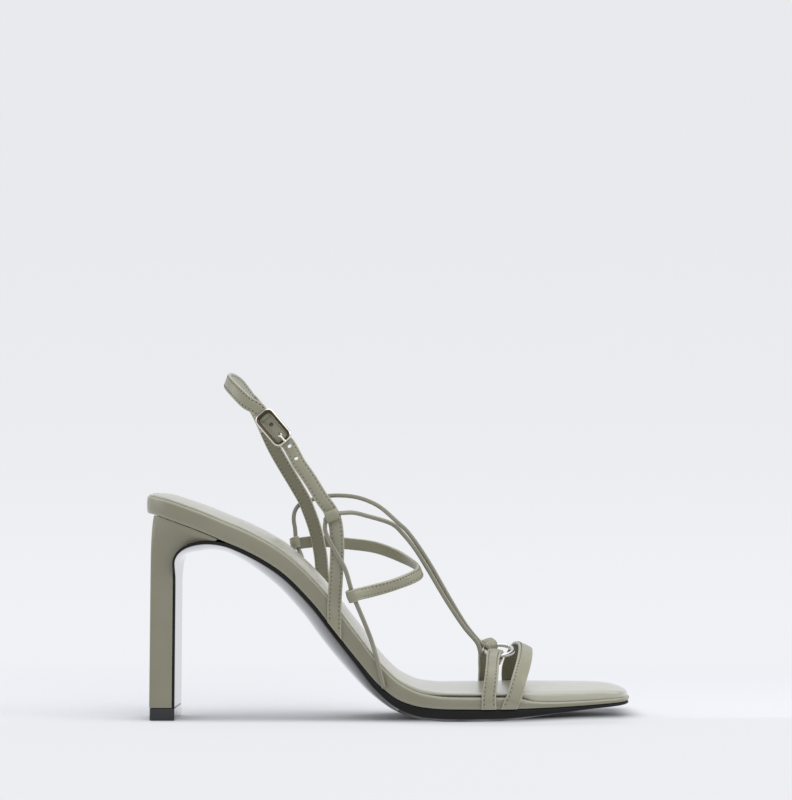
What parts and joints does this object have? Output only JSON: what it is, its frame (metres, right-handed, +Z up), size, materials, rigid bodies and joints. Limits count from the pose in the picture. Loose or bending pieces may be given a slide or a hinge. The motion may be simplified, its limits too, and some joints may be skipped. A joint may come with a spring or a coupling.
{
  "type": "strappy heeled sandal",
  "caption": "Open sandal on a tall slim block heel, with thin straps, a front ring, a doubled cord up the instep and a buckled strap round the ankle.",
  "frame": {"origin": "on the floor, at the centre of the top lift's lower face", "axes": "+X from the heel to the toe, +Y from the outer side of the foot to its inner side, +Z up"},
  "size_m": [0.222, 0.0802, 0.1607],
  "materials": {
    "leather": "smooth matt to satin leather",
    "lining": "fine smooth lining leather, slightly glossy",
    "sole": "polished black, flat and smooth",
    "top_lift": "matt black",
    "ring_metal": "polished",
    "buckle_metal": "polished pale gold"
  },
  "bodies": {
    "root": {"footbed": "leather", "insole_sock": "lining", "outsole": "sole", "heel_block": "leather", "top_lift": "top_lift", "toe_strap": "leather", "ring": "ring_metal", "ring_strap_outer": "leather", "ring_strap_inner": "leather", "ankle_strap_outer": "leather", "ankle_strap_inner": "leather", "keeper_outer": "leather", "keeper_inner": "leather", "cord": "leather", "instep_strap": "leather", "buckle_frame": "buckle_metal", "buckle_prong": "buckle_metal"}
  },
  "joints": []
}
